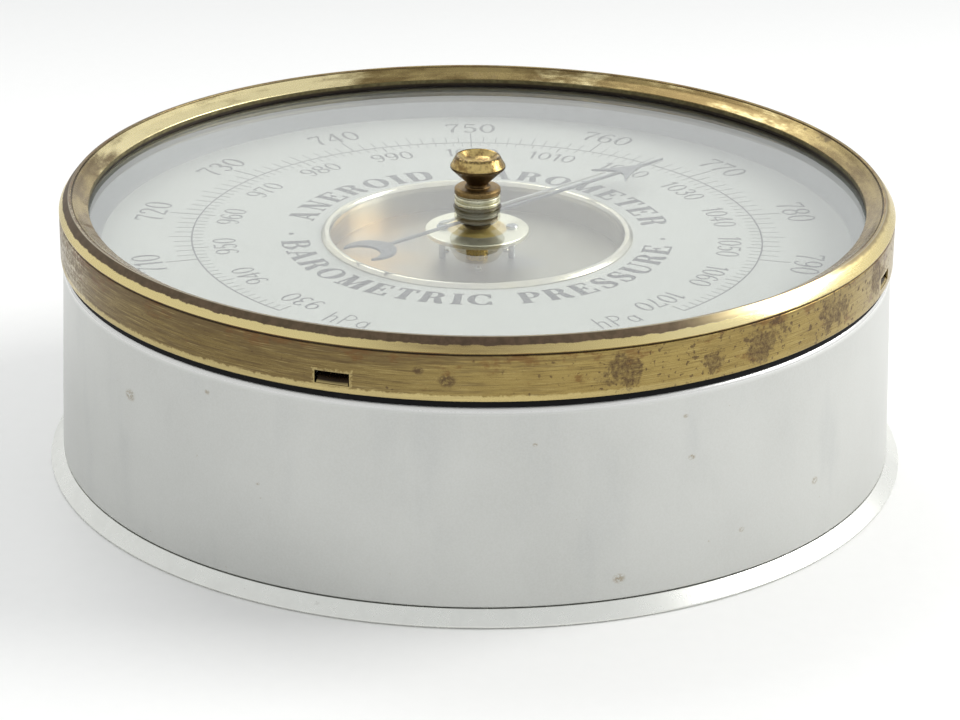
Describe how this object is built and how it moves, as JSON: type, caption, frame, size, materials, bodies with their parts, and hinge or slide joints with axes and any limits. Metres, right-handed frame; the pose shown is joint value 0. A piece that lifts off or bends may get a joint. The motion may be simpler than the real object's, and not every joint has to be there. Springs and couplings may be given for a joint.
{
  "type": "aneroid barometer",
  "caption": "Round metal-cased aneroid barometer with a brass bezel, flat glass, printed dial, geared pointer and a set hand turned by a knob in the glass.",
  "frame": {"origin": "centre of the back, on the plane the case rests on", "axes": "+Z out of the dial, +Y towards twelve o'clock on the scale"},
  "size_m": [0.1564, 0.1564, 0.0558],
  "materials": {
    "foot_aluminium": "polished",
    "case_paint": "satin silver-grey paint",
    "zinc_steel": "zinc plated sheet",
    "black_rubber": "matte",
    "bezel_brass": "old polished brass with brown tarnish",
    "dial_white": "matte white enamel",
    "rim_nickel": "polished nickel",
    "rehaut_white": "satin white",
    "clear_glass": "clear polished",
    "bush_brass": "pale polished brass",
    "knob_brass": "polished brass with dark tarnish",
    "black_metal": "blued black",
    "movement_brass": "lacquered brass",
    "pivot_steel": "ground steel",
    "capsule_bronze": "nickelled bronze",
    "well_polish": "polished plate",
    "hub_brass": "polished brass"
  },
  "bodies": {
    "root": {"base_ring": "foot_aluminium", "back_plate": "zinc_steel", "back_screws": "zinc_steel", "case_shell": "case_paint", "mounting_ring": "zinc_steel", "case_gasket": "black_rubber", "dial_seat": "zinc_steel", "bezel": "bezel_brass", "dial": "dial_white", "dial_rim": "rim_nickel", "rehaut": "rehaut_white", "glass_gasket": "black_rubber", "glass": "clear_glass", "knob_bush": "bush_brass", "bush_nut": "bush_brass", "chassis": "movement_brass", "chassis_pillars": "movement_brass", "plate_pillars": "movement_brass", "adjuster_bush": "movement_brass", "capsule_post": "movement_brass", "capsule_stack": "capsule_bronze", "rocker_bearings": "movement_brass", "lower_plate": "movement_brass", "upper_plate": "movement_brass", "cover_plate": "well_polish", "cover_nuts": "movement_brass", "cock_pins": "rim_nickel", "bearing_tube": "movement_brass", "hub_disc": "hub_brass", "hub_screws": "pivot_steel", "hairspring": "capsule_bronze", "hairspring_stud": "movement_brass"},
    "adjuster": {"adjusting_screw": "pivot_steel"},
    "capsule_fork": {"capsule_head": "movement_brass", "head_pin": "pivot_steel"},
    "rocker": {"rocker_shaft": "pivot_steel", "rocker_arm": "movement_brass", "bimetal_finger": "pivot_steel", "finger_pin": "pivot_steel"},
    "sector_body": {"sector": "movement_brass", "sector_arbor": "pivot_steel"},
    "pointer_body": {"pointer_arbor": "hub_brass", "pinion": "pivot_steel", "hairspring_collet": "movement_brass", "pointer_boss": "black_metal", "pointer": "black_metal"},
    "set_body": {"set_knob": "knob_brass", "knob_washer": "knob_brass", "set_shaft": "pivot_steel", "set_hand_boss": "black_metal", "set_hand": "rim_nickel"}
  },
  "joints": [
    {"name": "pointer_turn", "type": "hinge", "parent": "root", "child": "pointer_body", "pos_m": [0, 0, 0.042], "axis": [0, 0, -1], "range_deg": [-189.8, 94.2], "stiffness_Nm_per_rad": 0.00063},
    {"name": "sector_turn", "type": "hinge", "parent": "root", "child": "sector_body", "pos_m": [-0.004, -0.03276, 0.0293], "axis": [0, 0, 1], "range_deg": [-19.1, 9.6]},
    {"name": "rocker_turn", "type": "hinge", "parent": "root", "child": "rocker", "pos_m": [-0.004, -0.016, 0.021], "axis": [0, 1, 0], "range_deg": [-10.7, 5.4]},
    {"name": "capsule_stroke", "type": "slide", "parent": "root", "child": "capsule_fork", "axis": [0, 0, -1], "range_m": [-0.00075, 0.00038], "deforming": ["capsule_stack"]},
    {"name": "set_hand_turn", "type": "hinge", "parent": "root", "child": "set_body", "pos_m": [0, 0, 0.047], "axis": [0, 0, -1], "continuous": true},
    {"name": "adjuster_turn", "type": "hinge", "parent": "root", "child": "adjuster", "pos_m": [0, 0, 0.004], "axis": [0, 0, 1], "range_deg": [-180, 180]}
  ],
  "couplings": [
    {"joint": "sector_turn", "follows": "pointer_turn", "ratio": 0.1},
    {"joint": "rocker_turn", "follows": "pointer_turn", "ratio": 0.055556},
    {"joint": "capsule_stroke", "follows": "pointer_turn", "m_per_rad": 0.00022222}
  ]
}
